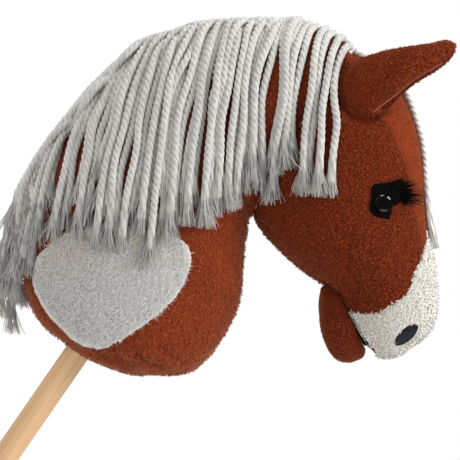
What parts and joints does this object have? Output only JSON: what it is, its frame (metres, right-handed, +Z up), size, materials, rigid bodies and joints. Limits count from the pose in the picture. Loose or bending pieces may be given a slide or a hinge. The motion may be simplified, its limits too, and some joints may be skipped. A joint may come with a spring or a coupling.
{
  "type": "hobby horse",
  "caption": "Stuffed plush horse head with a mane of twisted cotton cords, on a round wooden stick; the ears bend, the jaw opens and the head lifts off.",
  "frame": {"origin": "centre of the flat foot of the stick", "axes": "+X the way the horse faces, +Y towards its left side, away from the picture's near side, +Z up as in the picture; the stick leans 55.3 degrees from +X"},
  "size_m": [0.6896, 0.1522, 0.794],
  "materials": {
    "pale_wood": "sanded, clear matt",
    "chestnut_plush": "short-pile plush",
    "forehead_plush": "short-pile plush, smoother",
    "white_plush": "curly-pile plush",
    "grey_fluff": "long fluffy pile",
    "black_felt": "felt",
    "black_gloss": "polished",
    "white_plastic": "moulded",
    "white_cotton": "three-strand twisted cord, frayed ends",
    "cotton_tape": "woven",
    "black_thread": "satin thread"
  },
  "bodies": {
    "stick": {"stick": "pale_wood", "stick_top_pad": "cotton_tape"},
    "lower_jaw": {"lower_jaw": "chestnut_plush", "mouth_lining_lower": "black_felt"},
    "ear_near": {"ear_near": "chestnut_plush", "ear_lining_near": "forehead_plush"},
    "ear_far": {"ear_far": "chestnut_plush", "ear_lining_far": "forehead_plush"},
    "head": {"stick_sleeve": "cotton_tape", "sleeve_end_disc": "cotton_tape", "mane_tape": "cotton_tape", "neck": "chestnut_plush", "head": "chestnut_plush", "forehead_gusset": "forehead_plush", "muzzle": "white_plush", "mouth_lining_upper": "black_felt", "eye_patch_near": "black_felt", "eye_patch_far": "black_felt", "neck_patch_near": "grey_fluff", "eye_near": "black_gloss", "eye_washer_near": "white_plastic", "lashes_near": "black_thread", "nostril_near": "black_thread", "mane_near_1": "white_cotton", "mane_near_2": "white_cotton", "mane_near_3": "white_cotton", "mane_near_4": "white_cotton", "mane_near_5": "white_cotton", "mane_near_6": "white_cotton", "mane_near_7": "white_cotton", "neck_patch_far": "grey_fluff", "eye_far": "black_gloss", "eye_washer_far": "white_plastic", "lashes_far": "black_thread", "nostril_far": "black_thread", "mane_far_1": "white_cotton", "mane_far_2": "white_cotton", "mane_far_3": "white_cotton", "mane_far_4": "white_cotton", "mane_far_5": "white_cotton", "mane_far_6": "white_cotton", "mane_far_7": "white_cotton", "forelock_cord_1": "white_cotton", "forelock_cord_2": "white_cotton"}
  },
  "joints": [
    {"name": "head_lift_off", "type": "slide", "parent": "stick", "child": "head", "axis": [0.5693, 0, 0.8221], "range_m": [0, 0.22]},
    {"name": "jaw_open", "type": "hinge", "parent": "head", "child": "lower_jaw", "pos_m": [0.55949, 0, 0.52462], "axis": [0, 1, 0], "range_deg": [0, 18], "stiffness_Nm_per_rad": 0.4},
    {"name": "ear_near_swing", "type": "hinge", "parent": "head", "child": "ear_near", "pos_m": [0.58749, -0.0383, 0.71662], "axis": [0, 1, 0], "range_deg": [-18, 10], "stiffness_Nm_per_rad": 0.5},
    {"name": "ear_far_swing", "type": "hinge", "parent": "head", "child": "ear_far", "pos_m": [0.58749, 0.0383, 0.71662], "axis": [0, 1, 0], "range_deg": [-18, 10], "stiffness_Nm_per_rad": 0.5}
  ]
}
